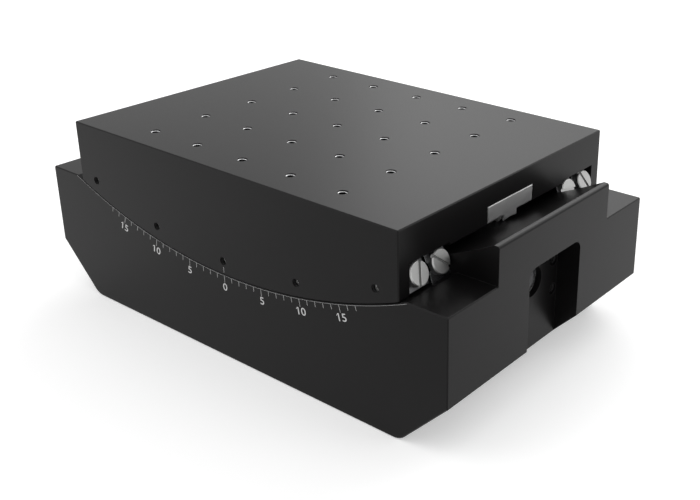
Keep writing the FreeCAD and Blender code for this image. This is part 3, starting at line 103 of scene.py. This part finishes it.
THREAD_STEPS = 14
THREAD_SINK = 0.05 * MM
THREAD_HEIGHT = 0.4
THREAD_FLANKS = 0.9


# Node groups

def new_group(name, inputs, outputs):
    """An empty shader node group with its sockets, and the nodes that stand for them."""
    group = bpy.data.node_groups.new(name, "ShaderNodeTree")
    for label, kind, value in inputs:
        socket = group.interface.new_socket(name=label, in_out="INPUT", socket_type=kind)
        socket.default_value = value
    for label, kind in outputs:
        group.interface.new_socket(name=label, in_out="OUTPUT", socket_type=kind)
    return group, group.nodes.new("NodeGroupInput"), group.nodes.new("NodeGroupOutput")


def edge_break_group():
    """The small rounding of machined edges, as a normal, and a mask of them.

    Evenly is the least share of the mask that an edge keeps. One that faces straight up has all of it, so the mask
    is partly wear and partly a painted highlight on edges that face up."""
    group, start, end = new_group(
        "edge_break",
        [("Width", "NodeSocketFloat", 0.2 * MM), ("Evenly", "NodeSocketFloat", 1)],
        [("Normal", "NodeSocketVector"), ("Edge", "NodeSocketFloat")],
    )
    bevel = group.nodes.new("ShaderNodeBevel")
    bevel.samples = 6
    flat = group.nodes.new("ShaderNodeNewGeometry")
    turn = group.nodes.new("ShaderNodeVectorMath")
    turn.operation = "DOT_PRODUCT"
    mask = group.nodes.new("ShaderNodeMapRange")
    mask.inputs["From Min"].default_value = 0.995
    mask.inputs["From Max"].default_value = 0.85
    parts = group.nodes.new("ShaderNodeSeparateXYZ")
    # Painted highlight: edges that face up get the most of the pale edge colour.
    facing_up = group.nodes.new("ShaderNodeMath")
    facing_up.operation = "MAXIMUM"
    shared = group.nodes.new("ShaderNodeMath")
    shared.operation = "MULTIPLY"
    shared.use_clamp = True
    group.links.new(start.outputs["Width"], bevel.inputs["Radius"])
    group.links.new(bevel.outputs["Normal"], turn.inputs[0])
    group.links.new(flat.outputs["Normal"], turn.inputs[1])
    group.links.new(turn.outputs["Value"], mask.inputs["Value"])
    group.links.new(bevel.outputs["Normal"], end.inputs["Normal"])
    group.links.new(bevel.outputs["Normal"], parts.inputs["Vector"])
    group.links.new(parts.outputs["Z"], facing_up.inputs[0])
    group.links.new(start.outputs["Evenly"], facing_up.inputs[1])
    group.links.new(facing_up.outputs["Value"], shared.inputs[0])
    group.links.new(mask.outputs["Result"], shared.inputs[1])
    group.links.new(shared.outputs["Value"], end.inputs["Edge"])
    return group


def surface_grain_group():
    """Fine grain, which Stretch draws out into grinding or turning lines, and wide soft clouds."""
    group, start, end = new_group(
        "surface_grain",
        [
            ("Stretch", "NodeSocketVector", (1, 1, 1)),
            ("Grain Scale", "NodeSocketFloat", 3000),
            ("Cloud Scale", "NodeSocketFloat", 25),
        ],
        [("Grain", "NodeSocketFloat"), ("Clouds", "NodeSocketFloat")],
    )
    place = group.nodes.new("ShaderNodeTexCoord")
    drawn_out = group.nodes.new("ShaderNodeMapping")
    grain = group.nodes.new("ShaderNodeTexNoise")
    grain.inputs["Detail"].default_value = 3
    clouds = group.nodes.new("ShaderNodeTexNoise")
    clouds.inputs["Detail"].default_value = 2
    group.links.new(place.outputs["Object"], drawn_out.inputs["Vector"])
    group.links.new(start.outputs["Stretch"], drawn_out.inputs["Scale"])
    group.links.new(drawn_out.outputs["Vector"], grain.inputs["Vector"])
    group.links.new(start.outputs["Grain Scale"], grain.inputs["Scale"])
    group.links.new(place.outputs["Object"], clouds.inputs["Vector"])
    group.links.new(start.outputs["Cloud Scale"], clouds.inputs["Scale"])
    group.links.new(grain.outputs["Fac"], end.inputs["Grain"])
    group.links.new(clouds.outputs["Fac"], end.inputs["Clouds"])
    return group


EDGE_BREAK = edge_break_group()
SURFACE_GRAIN = surface_grain_group()


# Finishes

def place_group(nodes, group, **values):
    """A copy of a node group in a material, with its own values."""
    node = nodes.new("ShaderNodeGroup")
    node.node_tree = group
    for label, value in values.items():
        node.inputs[label.replace("_", " ")].default_value = value
    return node


def blend_of(material, factor, low, high):
    """A colour between low and high, by a mask."""
    mix = material.node_tree.nodes.new("ShaderNodeMix")
    mix.data_type = "RGBA"
    mix.inputs["A"].default_value = (*low, 1)
    mix.inputs["B"].default_value = (*high, 1)
    material.node_tree.links.new(factor, mix.inputs["Factor"])
    return mix


def finish(name, dark, pale, wear_and_glint, rough, metal, grain, stretch=(1, 1, 1), bump=0.004 * MM,
           edge=0.2 * MM, evenly=1.0, specular=0.5):
    """A machined or moulded surface: clouds between two near tones, grain in its gloss, and pale edges, partly
    wear and partly a painted highlight.

    rough is the gloss at the low and high end of the grain, and grain the size of one grain."""
    material = bpy.data.materials.new(name)
    material.use_nodes = True
    nodes = material.node_tree.nodes
    links = material.node_tree.links
    shader = nodes["Principled BSDF"]
    shader.inputs["Metallic"].default_value = metal
    shader.inputs["Specular IOR Level"].default_value = specular
    texture = place_group(nodes, SURFACE_GRAIN, Stretch=stretch, Grain_Scale=1 / grain)
    edges = place_group(nodes, EDGE_BREAK, Width=edge, Evenly=evenly)
    body = blend_of(material, texture.outputs["Clouds"], dark, pale)
    # Pale edge colour by the edge mask: partly wear, partly painted highlights and glints on the edges.
    with_edges = blend_of(material, edges.outputs["Edge"], dark, wear_and_glint)
    links.new(body.outputs["Result"], with_edges.inputs["A"])
    links.new(with_edges.outputs["Result"], shader.inputs["Base Color"])
    gloss = nodes.new("ShaderNodeMapRange")
    gloss.inputs["From Min"].default_value = 0.3
    gloss.inputs["From Max"].default_value = 0.7
    gloss.inputs["To Min"].default_value = rough[0]
    gloss.inputs["To Max"].default_value = rough[1]
    links.new(texture.outputs["Grain"], gloss.inputs["Value"])
    links.new(gloss.outputs["Result"], shader.inputs["Roughness"])
    relief = nodes.new("ShaderNodeBump")
    relief.inputs["Distance"].default_value = bump
    links.new(texture.outputs["Grain"], relief.inputs["Height"])
    links.new(edges.outputs["Normal"], relief.inputs["Normal"])
    links.new(relief.outputs["Normal"], shader.inputs["Normal"])
    return material


def black_anodised():
    """Satin black oxide on fine-blasted aluminium."""
    # Its pale edge colour, strongest on edges that face up, is partly wear and partly a painted highlight.
    return finish("black_anodised", dark=(0.0040, 0.0037, 0.0039), pale=(0.0054, 0.0050, 0.0052),
                  wear_and_glint=(0.08, 0.08, 0.08), rough=(0.29, 0.36), metal=0, grain=0.35 * MM,
                  bump=0.0015 * MM, edge=0.14 * MM, evenly=0.1, specular=0.125)


def hardened_steel():
    """Dark tool steel, ground along the arc, with bright edges that are partly wear and partly painted glints."""
    return finish("hardened_steel", dark=(0.12, 0.12, 0.125), pale=(0.18, 0.18, 0.185),
                  wear_and_glint=(0.7, 0.7, 0.7), rough=(0.24, 0.36), metal=1, grain=0.25 * MM,
                  stretch=(0.08, 1, 1), edge=0.08 * MM)


def bright_screws():
    """Polished stainless steel."""
    return finish("bright_screws", dark=(0.4, 0.4, 0.395), pale=(0.5, 0.5, 0.495),
                  wear_and_glint=(0.85, 0.85, 0.85), rough=(0.43, 0.46), metal=1, grain=0.6 * MM,
                  bump=0.0003 * MM, edge=0.1 * MM)


def dark_screws():
    """Blackened steel with pale edges on the sockets, partly rubbed through and partly painted glints."""
    return finish("dark_screws", dark=(0.04, 0.04, 0.042), pale=(0.08, 0.08, 0.082),
                  wear_and_glint=(0.55, 0.55, 0.55), rough=(0.3, 0.42), metal=0.7, grain=0.3 * MM,
                  edge=0.08 * MM)


def sector_steel():
    """Satin ground sector of the worm drive."""
    return finish("sector_steel", dark=(0.58, 0.58, 0.58), pale=(0.66, 0.66, 0.66),
                  wear_and_glint=(0.85, 0.85, 0.85), rough=(0.42, 0.55), metal=1, grain=0.3 * MM,
                  stretch=(1, 0.08, 1), bump=0.0015 * MM, edge=0.25 * MM)


def cage_brass():
    """Stamped brass of the roller cages and the connector's pins."""
    return finish("cage_brass", dark=(0.55, 0.4, 0.17), pale=(0.66, 0.5, 0.24),
                  wear_and_glint=(0.85, 0.7, 0.4), rough=(0.25, 0.38), metal=1, grain=0.3 * MM,
                  edge=0.06 * MM)


def plain_aluminium():
    """Turned and milled aluminium, left bright."""
    return finish("plain_aluminium", dark=(0.62, 0.62, 0.63), pale=(0.72, 0.72, 0.73),
                  wear_and_glint=(0.88, 0.88, 0.88), rough=(0.28, 0.42), metal=1, grain=0.2 * MM,
                  stretch=(1, 1, 0.1), edge=0.12 * MM)


def motor_iron():
    """Lacquered laminations of the motor."""
    return finish("motor_iron", dark=(0.012, 0.012, 0.012), pale=(0.022, 0.022, 0.022),
                  wear_and_glint=(0.2, 0.2, 0.2), rough=(0.35, 0.55), metal=0.2, grain=0.3 * MM,
                  stretch=(3, 0.1, 0.1), edge=0.1 * MM)


def nickel_shell():
    """Nickel-plated shell of the connector."""
    return finish("nickel_shell", dark=(0.55, 0.54, 0.51), pale=(0.66, 0.65, 0.62),
                  wear_and_glint=(0.8, 0.8, 0.78), rough=(0.16, 0.26), metal=1, grain=0.25 * MM,
                  edge=0.1 * MM)


def black_plastic():
    """Moulded black plastic."""
    return finish("black_plastic", dark=(0.009, 0.009, 0.009), pale=(0.014, 0.014, 0.014),
                  wear_and_glint=(0.04, 0.04, 0.04), rough=(0.42, 0.56), metal=0, grain=0.25 * MM,
                  edge=0.15 * MM, specular=0.4)


def scale_paint():
    """Pale grey filling of the engraved scale, a little uneven."""
    return finish("scale_paint", dark=(0.58, 0.58, 0.58), pale=(0.68, 0.68, 0.68),
                  wear_and_glint=(0.66, 0.66, 0.66), rough=(0.5, 0.65), metal=0, grain=0.2 * MM,
                  edge=0.02 * MM, specular=0.3)


FINISHES = {
    "black_anodised": black_anodised(),
    "hardened_steel": hardened_steel(),
    "bright_screws": bright_screws(),
    "dark_screws": dark_screws(),
    "sector_steel": sector_steel(),
    "cage_brass": cage_brass(),
    "plain_aluminium": plain_aluminium(),
    "motor_iron": motor_iron(),
    "nickel_shell": nickel_shell(),
    "black_plastic": black_plastic(),
}


def dress_frame():
    """Gives every CAD node the finish of its slot in the record."""
    for part in frame["record"]["subparts"]:
        node = frame["nodes"][part["node"]]
        for place in range(len(node.data.materials)):
            node.data.materials[place] = FINISHES[part["material_slot"]]


# Pieces

def new_piece(name, bm, body, material):
    """Turns a bmesh into a piece that rides on a body."""
    bmesh.ops.recalc_face_normals(bm, faces=bm.faces)
    mesh = bpy.data.meshes.new(name)
    bm.to_mesh(mesh)
    bm.free()
    piece = bpy.data.objects.new(name, mesh)
    bpy.context.scene.collection.objects.link(piece)
    mesh.materials.append(material)
    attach(piece, body)
    return piece


def on_scale(degree, radius):
    """A place on the scale face: local X runs along the arc, Y into the face and Z towards the tilt axis."""
    axis = Matrix.Translation((0, SCALE_FACE, TILT_AXIS_HEIGHT))
    return axis @ Matrix.Rotation(-math.radians(degree), 4, "Y") @ Matrix.Translation((0, 0, -radius))


def mark(bm, degree, outer_radius, length, width=TICK_WIDTH):
    """One radial line of paint that starts at outer_radius and runs down, away from the tilt axis."""
    size = Matrix.Diagonal((width, PAINT_DEPTH, length, 1))
    sunk = Matrix.Translation((0, PAINT_DEPTH / 2 - PAINT_PROUD, -length / 2))
    bmesh.ops.create_cube(bm, size=1, matrix=on_scale(degree, outer_radius) @ sunk @ size)


def scale_ticks():
    """One tick for each degree, longer at each fifth."""
    bm = bmesh.new()
    for degree in range(-SCALE_REACH, SCALE_REACH + 1):
        length = LONG_TICK if degree % NUMBERED_STEP == 0 else SHORT_TICK
        mark(bm, degree, BED_RADIUS + TICK_START, length)
    return new_piece("scale_ticks", bm, "base", PAINT)


def number_mesh(number):
    """The mesh of a number, one unit high, centred and lying flat."""
    letters = bpy.data.curves.new("number", "FONT")
    letters.body = str(number)
    letters.align_x = "CENTER"
    letters.extrude = 0.5
    letters.offset = DIGIT_BOLDNESS
    holder = bpy.data.objects.new("number", letters)
    bpy.context.scene.collection.objects.link(holder)
    bpy.context.view_layer.update()
    mesh = bpy.data.meshes.new_from_object(holder.evaluated_get(bpy.context.evaluated_depsgraph_get()))
    bpy.data.objects.remove(holder)
    heights = [corner.co.y for corner in mesh.vertices]
    middle = Matrix.Translation((0, -(max(heights) + min(heights)) / 2, 0))
    size = 1 / (max(heights) - min(heights))
    mesh.transform(Matrix.Diagonal((size, size, 1, 1)) @ middle)
    return mesh


def flag_of_one(bm, left):
    """The short slanted stroke at the top of a 1 whose stem's left side is at left, in the number's units."""
    length, drop, thick = ONE_FLAG
    tip = left - length
    outline = [(left, 0.5), (tip, 0.5 - drop), (tip, 0.5 - drop - thick), (left, 0.5 - thick)]
    low = [bm.verts.new((x, y, -0.5)) for x, y in outline]
    high = [bm.verts.new((x, y, 0.5)) for x, y in outline]
    bm.faces.new(low)
    bm.faces.new(high)
    for side in range(4):
        bm.faces.new((low[side], low[side - 1], high[side - 1], high[side]))


def scale_numbers():
    """A number under each long tick, turned with the arc."""
    bm = bmesh.new()
    upright = Matrix.Rotation(math.radians(90), 4, "X")
    size = Matrix.Diagonal((DIGIT_HEIGHT * DIGIT_WIDENING, DIGIT_HEIGHT, PAINT_DEPTH, 1))
    sunk = Matrix.Translation((0, PAINT_DEPTH / 2 - PAINT_PROUD, 0))
    for degree in range(-NUMBERED_REACH, NUMBERED_REACH + 1, NUMBERED_STEP):
        mesh = number_mesh(abs(degree))
        digits = bmesh.new()
        digits.from_mesh(mesh)
        if abs(degree) >= 10:
            flag_of_one(digits, min(corner.co.x for corner in digits.verts))
        digits.to_mesh(mesh)
        digits.free()
        mesh.transform(on_scale(degree, BED_RADIUS + NUMBER_DROP) @ sunk @ upright @ size)
        bm.from_mesh(mesh)
    bmesh.ops.remove_doubles(bm, verts=bm.verts, dist=0.001 * MM)
    return new_piece("scale_numbers", bm, "base", PAINT)


def arc_line():
    """A thin line of paint along the edge of the bed, from which the ticks hang: a painted highlight of the bed's
    chamfered edge, drawn past the ends of the scale.
    """
    bm = bmesh.new()
    step = 2 * ARC_LINE_REACH / ARC_LINE_PARTS
    inner, outer = BED_RADIUS + TICK_START, BED_RADIUS + TICK_START + ARC_LINE_WIDTH
    corners = []
    for part in range(ARC_LINE_PARTS + 1):
        degree = part * step - ARC_LINE_REACH
        spots = [(-PAINT_PROUD, inner), (-PAINT_PROUD, outer), (PAINT_DEPTH, outer), (PAINT_DEPTH, inner)]
        ring = [on_scale(degree, radius) @ Vector((0, depth, 0)) for depth, radius in spots]
        corners.append([bm.verts.new(corner) for corner in ring])
    for near, far in zip(corners, corners[1:]):
        for side in range(4):
            bm.faces.new((near[side], near[side - 1], far[side - 1], far[side]))
    bm.faces.new(corners[0])
    bm.faces.new(corners[-1])
    return new_piece("bed_edge_highlight", bm, "base", PAINT)


def index_line():
    """The table's pointer, on the lower edge of its skirt."""
    bm = bmesh.new()
    mark(bm, 0, SKIRT_RADIUS - INDEX_GAP - INDEX_LENGTH, INDEX_LENGTH, INDEX_WIDTH)
    return new_piece("index_line", bm, "table", PAINT)


def add_thread(bm, mouth, radius, start, depth, pitch):
    """A helical ridge on the wall of a tapped hole. mouth is at the hole's opening, and its -Z goes in."""
    turns = (depth - start) / pitch - 1
    crest = radius - THREAD_HEIGHT * pitch
    foot = radius + THREAD_SINK
    corners = [(foot, 0, -start), (crest, 0, -start - pitch / 2), (foot, 0, -start - THREAD_FLANKS * pitch)]
    profile = bm.faces.new([bm.verts.new(mouth @ Vector(corner)) for corner in corners])
    inwards = (mouth.to_3x3() @ Vector((0, 0, -1))).normalized()
    steps = round(turns * THREAD_STEPS)
    bmesh.ops.spin(bm, geom=[profile, *profile.edges, *profile.verts], cent=mouth.translation,
                   axis=inwards, dvec=inwards * turns * pitch / steps,
                   angle=2 * math.pi * turns, steps=steps, use_merge=False)


def table_threads():
    """Threads of the table's grid of holes: a bright metal ring at each mouth, a painted glint under the rim, then
    black.
    """
    mouth_glints, black = bmesh.new(), bmesh.new()
    half = (GRID_COUNT - 1) / 2
    # The first turn at each mouth is bright metal, a painted glint under the hole's rim.
    glint_end = THREAD_START + TABLE_PITCH
    for column in range(GRID_COUNT):
        for row in range(GRID_COUNT):
            mouth = Matrix.Translation(((column - half) * GRID_PITCH, (row - half) * GRID_PITCH, TABLE_TOP))
            add_thread(mouth_glints, mouth, GRID_HOLE_RADIUS, THREAD_START, glint_end, TABLE_PITCH / 2)
            add_thread(black, mouth, GRID_HOLE_RADIUS, glint_end, GRID_HOLE_DEPTH, TABLE_PITCH)
    new_piece("table_hole_mouths", mouth_glints, "table", FINISHES["plain_aluminium"])
    return new_piece("table_threads", black, "table", FINISHES["black_anodised"])


def skirt_threads():
    """Threads in the mouths of the skirts' holes, in front of the set screws."""
    bm = bmesh.new()
    skirt_faces = [corner.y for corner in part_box("table_plate")]
    for side, turn in zip(skirt_faces, (90, -90)):
        for index in range(SKIRT_HOLE_COUNT):
            angle = math.radians((index - (SKIRT_HOLE_COUNT - 1) / 2) * SKIRT_HOLE_STEP)
            spot = (SKIRT_HOLE_LINE * math.sin(angle), side,
                    TILT_AXIS_HEIGHT - SKIRT_HOLE_LINE * math.cos(angle))
            mouth = Matrix.Translation(spot) @ Matrix.Rotation(math.radians(turn), 4, "X")
            add_thread(bm, mouth, SKIRT_HOLE_RADIUS, THREAD_START, SKIRT_HOLE_DEPTH, SKIRT_PITCH)
    return new_piece("skirt_threads", bm, "table", FINISHES["black_anodised"])


def base_threads():
    """Threads of the drive bay's four holes and of the four holes under the base."""
    bm = bmesh.new()
    half_length, half_width = FOOT_HOLE_SPAN / 2, FOOT_HOLE_WIDTH / 2
    outwards = Matrix.Rotation(math.radians(90), 4, "Y")
    down = Matrix.Rotation(math.radians(180), 4, "X")
    for side in (-1, 1):
        for height in BAY_HOLE_HEIGHTS:
            mouth = Matrix.Translation((BAY_WALL, side * BAY_HOLE_HALF_SPAN, height)) @ outwards
            add_thread(bm, mouth, BAY_HOLE_RADIUS, THREAD_START, BAY_HOLE_DEPTH, BASE_PITCH)
        for end in (-1, 1):
            foot = Matrix.Translation((end * half_length, side * half_width, BASE_BOTTOM)) @ down
            add_thread(bm, foot, FOOT_HOLE_RADIUS, THREAD_START, FOOT_HOLE_DEPTH, BASE_PITCH)
    return new_piece("base_threads", bm, "base", FINISHES["black_anodised"])


# Studio

FLOOR_SIZE = 8
FLOOR_DROP = 0.05 * MM
FLOOR_COLOUR = (0.86, 0.86, 0.86, 1)
FLOOR_LIFT = 0.36
WORLD_LIGHT = 0.75
WHITE = (1, 1, 1, 1)
STAGE_MIDDLE = (0, 0, 0.05)

# The photograph's camera, recovered from the square grid of holes in the table
LENS = 52.89
LENS_SHIFT = (-0.1572, -0.0860)
CAMERA_PLACE = (0.2744, -0.28295, 0.21074)
CAMERA_RIGHT = (0.7967, 0.6043, 0.0124)
CAMERA_BACK = (0.5557, -0.7403, 0.3785)


def seen_directly(nodes, links):
    """1 for rays of the camera and of mirror or glass images, 0 for light that falls on a surface."""
    rays = nodes.new("ShaderNodeLightPath")
    either = nodes.new("ShaderNodeMath")
    either.operation = "MAXIMUM"
    any_of = nodes.new("ShaderNodeMath")
    any_of.operation = "MAXIMUM"
    links.new(rays.outputs["Is Camera Ray"], either.inputs[0])
    links.new(rays.outputs["Is Glossy Ray"], either.inputs[1])
    links.new(either.outputs["Value"], any_of.inputs[0])
    links.new(rays.outputs["Is Transmission Ray"], any_of.inputs[1])
    return any_of


def floor():
    """A plain pale floor that shows white and keeps the stage's shadow."""
    bm = bmesh.new()
    bmesh.ops.create_grid(bm, x_segments=1, y_segments=1, size=FLOOR_SIZE / 2)
    bmesh.ops.translate(bm, verts=bm.verts, vec=(0, 0, BASE_BOTTOM - FLOOR_DROP))
    mesh = bpy.data.meshes.new("floor")
    bm.to_mesh(mesh)
    bm.free()
    piece = bpy.data.objects.new("floor", mesh)
    bpy.context.scene.collection.objects.link(piece)
    material = bpy.data.materials.new("floor_paint")
    material.use_nodes = True
    nodes = material.node_tree.nodes
    links = material.node_tree.links
    shader = nodes["Principled BSDF"]
    shader.inputs["Base Color"].default_value = FLOOR_COLOUR
    shader.inputs["Roughness"].default_value = 0.9
    shader.inputs["Specular IOR Level"].default_value = 0.1
    shader.inputs["Emission Color"].default_value = WHITE
    lift = nodes.new("ShaderNodeMath")
    lift.operation = "MULTIPLY"
    lift.inputs[1].default_value = FLOOR_LIFT
    links.new(seen_directly(nodes, links).outputs["Value"], lift.inputs[0])
    links.new(lift.outputs["Value"], shader.inputs["Emission Strength"])
    mesh.materials.append(material)


def backdrop():
    """A world that shows white and gives a soft, plain light."""
    world = bpy.data.worlds.new("studio")
    bpy.context.scene.world = world
    world.use_nodes = True
    nodes = world.node_tree.nodes
    links = world.node_tree.links
    sky = nodes["Background"]
    sky.inputs["Color"].default_value = WHITE
    level = nodes.new("ShaderNodeMapRange")
    level.inputs["To Min"].default_value = WORLD_LIGHT
    level.inputs["To Max"].default_value = 1
    links.new(seen_directly(nodes, links).outputs["Value"], level.inputs["Value"])
    links.new(level.outputs["Result"], sky.inputs["Strength"])


def softbox(name, place, width, height, watts):
    """A large soft lamp at place that faces the stage."""
    lamp = bpy.data.lights.new(name, "AREA")
    lamp.shape = "RECTANGLE"
    lamp.size = width
    lamp.size_y = height
    lamp.energy = watts
    holder = bpy.data.objects.new(name, lamp)
    bpy.context.scene.collection.objects.link(holder)
    holder.location = place
    holder.rotation_mode = "QUATERNION"
    holder.rotation_quaternion = (Vector(STAGE_MIDDLE) - Vector(place)).to_track_quat("-Z", "Y")


def lights():
    """A key lamp in front, a wide one behind that the table's top mirrors, and a small one at the right."""
    softbox("key", (-0.5, -0.55, 0.85), 0.7, 0.7, 1.6)
    softbox("back", (-0.1, 1.15, 0.85), 1.9, 0.6, 8.5)
    softbox("right", (1.1, 0.35, 0.6), 0.5, 0.5, 1.6)


def camera():
    """The photograph's viewpoint."""
    lens = bpy.data.cameras.new("camera")
    lens.sensor_width = 36
    lens.lens = LENS
    lens.shift_x, lens.shift_y = LENS_SHIFT
    lens.clip_start = 0.01
    lens.clip_end = 50
    holder = bpy.data.objects.new("camera", lens)
    bpy.context.scene.collection.objects.link(holder)
    right = Vector(CAMERA_RIGHT).normalized()
    back = Vector(CAMERA_BACK).normalized()
    above = back.cross(right)
    turn = Matrix((right, above, back)).transposed().to_4x4()
    holder.matrix_world = Matrix.Translation(CAMERA_PLACE) @ turn
    bpy.context.scene.camera = holder


PAINT = scale_paint()
dress_frame()
scale_ticks()
scale_numbers()
arc_line()
index_line()
table_threads()
skirt_threads()
base_threads()
floor()
backdrop()
lights()
camera()
bpy.context.scene.view_settings.view_transform = "Standard"
